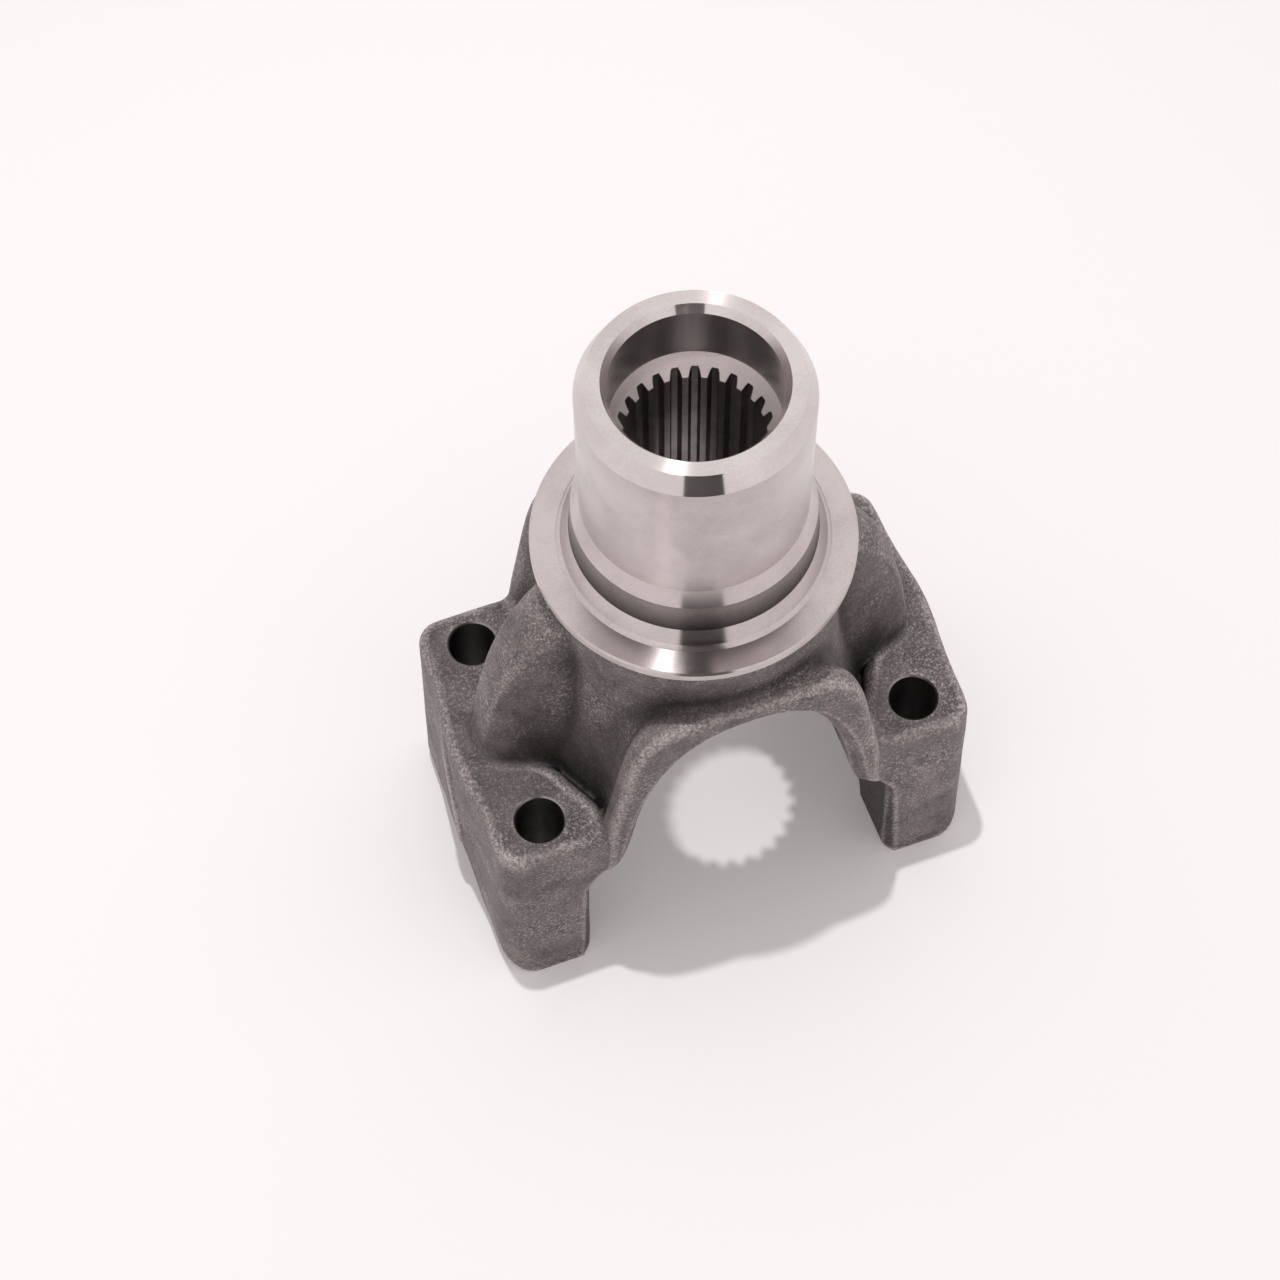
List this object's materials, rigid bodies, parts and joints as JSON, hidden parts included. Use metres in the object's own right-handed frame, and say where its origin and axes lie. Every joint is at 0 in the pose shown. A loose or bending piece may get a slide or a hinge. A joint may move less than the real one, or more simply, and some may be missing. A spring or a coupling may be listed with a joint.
{
  "type": "universal joint end yoke",
  "caption": "Forged steel end yoke: a splined round hub with a seal journal and flange, on an arched body whose ears carry half-round bearing seats and bolt holes.",
  "frame": {"origin": "centre of the plane that the leg ends stand on, where the hub axis meets the cross bearing axis", "axes": "+Z along the hub axis towards the splined hub's open end, +X along the cross bearing axis"},
  "size_m": [0.1502, 0.0896, 0.214],
  "materials": {
    "forged_steel": "shot-blasted forging skin, dark grey, with a bright turned hub, flange and bore"
  },
  "bodies": {
    "root": {"yoke": "forged_steel"}
  },
  "joints": []
}
